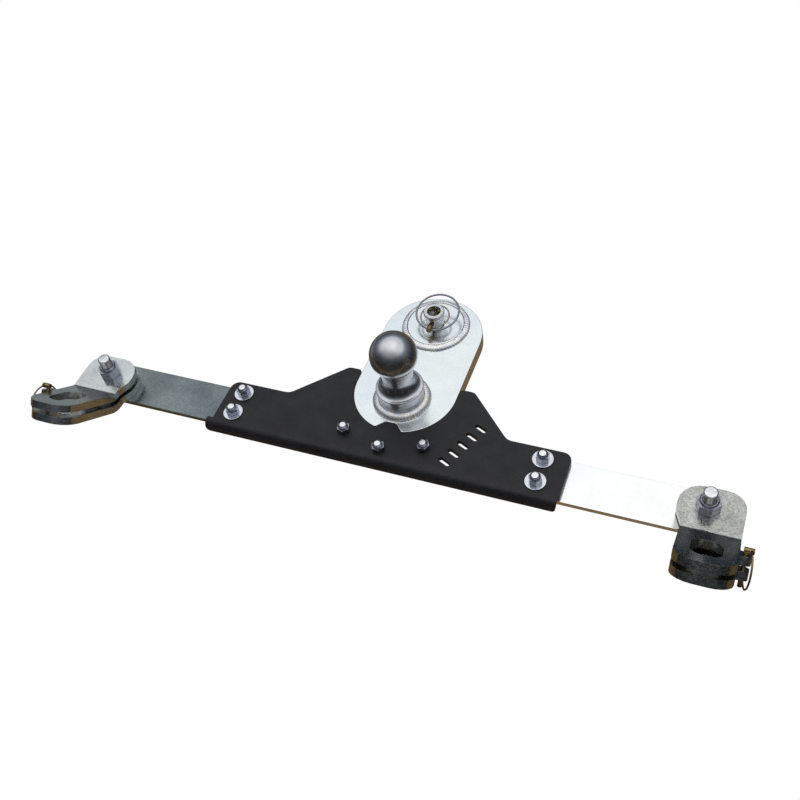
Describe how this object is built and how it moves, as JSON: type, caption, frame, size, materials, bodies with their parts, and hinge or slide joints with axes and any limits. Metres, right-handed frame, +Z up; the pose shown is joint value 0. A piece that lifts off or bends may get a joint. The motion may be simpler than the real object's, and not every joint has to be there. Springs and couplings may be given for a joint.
{
  "type": "weight distribution hitch",
  "caption": "Offset tow ball on a round ball-lock shank, carried on a flanged cross plate whose sliding bars end in swivel brackets with eyes and linch pins.",
  "frame": {"origin": "on the shank's axis at the underside of the ball plate, where the hitch stands on its socket", "axes": "+Z up along the shank and the ball, +X along the cross bar, -Y from the shank towards the ball and the cross bar"},
  "size_m": [0.8776, 0.371, 0.2151],
  "materials": {
    "powder_coat": "satin black powder coat",
    "zinc": "bright zinc plate",
    "dark_zinc": "clear zinc plate, darker",
    "ball_steel": "satin turned steel",
    "weld": "plated weld bead",
    "fastener": "bright zinc plate",
    "yellow_zinc": "yellow zinc plate",
    "wire": "bright spring wire",
    "machined": "machined steel"
  },
  "bodies": {
    "base": {"body_plate": "powder_coat", "ball_plate": "zinc", "hitch_ball": "ball_steel", "ball_weld": "weld", "shank": "zinc", "shank_weld": "weld", "backing_plate": "powder_coat", "lock_retainer": "machined", "lock_spring": "wire", "centre_bolt_1": "fastener", "centre_nut_1": "fastener", "centre_spacer_1": "dark_zinc", "centre_bolt_2": "fastener", "centre_nut_2": "fastener", "centre_spacer_2": "dark_zinc", "centre_bolt_3": "fastener", "centre_nut_3": "fastener", "centre_spacer_3": "dark_zinc", "plate_screw_1": "fastener", "plate_screw_2": "fastener", "wing_bolt_left_front": "fastener", "wing_washer_left_front": "fastener", "wing_nut_left_front": "fastener", "wing_bolt_left_back": "fastener", "wing_washer_left_back": "fastener", "wing_nut_left_back": "fastener", "wing_bolt_right_front": "fastener", "wing_washer_right_front": "fastener", "wing_nut_right_front": "fastener", "wing_bolt_right_back": "fastener", "wing_washer_right_back": "fastener", "wing_nut_right_back": "fastener"},
    "bar_left": {"bar_left": "zinc", "end_bolt_left": "fastener", "end_nut_left": "fastener"},
    "bracket_left": {"bracket_upper_left": "dark_zinc", "bracket_lower_left": "dark_zinc", "bracket_spacer_left": "dark_zinc"},
    "bracket_pin_left": {"bracket_pin_left": "yellow_zinc"},
    "bracket_ring_left": {"bracket_ring_left": "yellow_zinc"},
    "bar_right": {"bar_right": "zinc", "end_bolt_right": "fastener", "end_nut_right": "fastener"},
    "bracket_right": {"bracket_upper_right": "dark_zinc", "bracket_lower_right": "dark_zinc", "bracket_spacer_right": "dark_zinc"},
    "bracket_pin_right": {"bracket_pin_right": "yellow_zinc"},
    "bracket_ring_right": {"bracket_ring_right": "yellow_zinc"},
    "spindle": {"lock_spindle": "machined", "lock_piston": "machined", "piston_nut": "fastener"},
    "spindle_pin": {"spindle_pin": "yellow_zinc"},
    "spindle_pin_ring": {"spindle_pin_ring": "yellow_zinc"},
    "pull_ring": {"pull_ring": "wire"},
    "lock_ball_1": {"lock_ball_1": "machined"},
    "lock_ball_2": {"lock_ball_2": "machined"},
    "lock_ball_3": {"lock_ball_3": "machined"},
    "lock_ball_4": {"lock_ball_4": "machined"}
  },
  "joints": [
    {"name": "bar_slide_left", "type": "slide", "parent": "base", "child": "bar_left", "axis": [-1, 0, 0], "range_m": [-0.013, 0.025]},
    {"name": "bracket_swivel_left", "type": "hinge", "parent": "bar_left", "child": "bracket_left", "pos_m": [-0.3847, -0.2007, 0.01905], "axis": [0, 0, 1], "range_deg": [-60, 60]},
    {"name": "bracket_pin_turn_left", "type": "hinge", "parent": "bracket_left", "child": "bracket_pin_left", "pos_m": [-0.43, -0.26202, 0.06928], "axis": [0, 0.6428, 0.766], "range_deg": [-12, 32]},
    {"name": "bracket_ring_flap_left", "type": "hinge", "parent": "bracket_pin_left", "child": "bracket_ring_left", "pos_m": [-0.4342, -0.26202, 0.06928], "axis": [0.1736, 0.7544, -0.633], "range_deg": [0, 100]},
    {"name": "bar_slide_right", "type": "slide", "parent": "base", "child": "bar_right", "axis": [1, 0, 0], "range_m": [-0.022, 0.016]},
    {"name": "bracket_swivel_right", "type": "hinge", "parent": "bar_right", "child": "bracket_right", "pos_m": [0.3847, -0.2007, 0.01905], "axis": [0, 0, 1], "range_deg": [-60, 60]},
    {"name": "bracket_pin_turn_right", "type": "hinge", "parent": "bracket_right", "child": "bracket_pin_right", "pos_m": [0.43, -0.26202, 0.06928], "axis": [0, 0.6428, 0.766], "range_deg": [-32, 12]},
    {"name": "bracket_ring_flap_right", "type": "hinge", "parent": "bracket_pin_right", "child": "bracket_ring_right", "pos_m": [0.4342, -0.26202, 0.06928], "axis": [0.1736, -0.7544, 0.633], "range_deg": [0, 100]},
    {"name": "spindle_lift", "type": "slide", "parent": "base", "child": "spindle", "axis": [0, 0, 1], "range_m": [0, 0.014], "stiffness_N_per_m": 900, "springref_m": -0.02, "deforming": ["lock_spring"]},
    {"name": "lock_ball_slide_1", "type": "slide", "parent": "base", "child": "lock_ball_1", "axis": [0.7071, 0.7071, 0], "range_m": [-0.004, 0]},
    {"name": "lock_ball_slide_2", "type": "slide", "parent": "base", "child": "lock_ball_2", "axis": [-0.7071, 0.7071, 0], "range_m": [-0.004, 0]},
    {"name": "lock_ball_slide_3", "type": "slide", "parent": "base", "child": "lock_ball_3", "axis": [-0.7071, -0.7071, 0], "range_m": [-0.004, 0]},
    {"name": "lock_ball_slide_4", "type": "slide", "parent": "base", "child": "lock_ball_4", "axis": [0.7071, -0.7071, 0], "range_m": [-0.004, 0]},
    {"name": "spindle_pin_turn", "type": "hinge", "parent": "spindle", "child": "spindle_pin", "pos_m": [0, 0, 0.03505], "axis": [0, 1, 0], "range_deg": [-18, 18]},
    {"name": "spindle_pin_ring_lift", "type": "hinge", "parent": "spindle_pin", "child": "spindle_pin_ring", "pos_m": [0, -0.0175, 0.03505], "axis": [1, 0, 0], "range_deg": [0, 80]},
    {"name": "pull_ring_lift", "type": "hinge", "parent": "spindle_pin", "child": "pull_ring", "pos_m": [0, -0.0217, 0.03505], "axis": [1, 0, 0], "range_deg": [0, 140]}
  ],
  "couplings": [
    {"joint": "lock_ball_slide_1", "follows": "spindle_lift", "ratio": -0.28571},
    {"joint": "lock_ball_slide_2", "follows": "spindle_lift", "ratio": -0.28571},
    {"joint": "lock_ball_slide_3", "follows": "spindle_lift", "ratio": -0.28571},
    {"joint": "lock_ball_slide_4", "follows": "spindle_lift", "ratio": -0.28571}
  ]
}
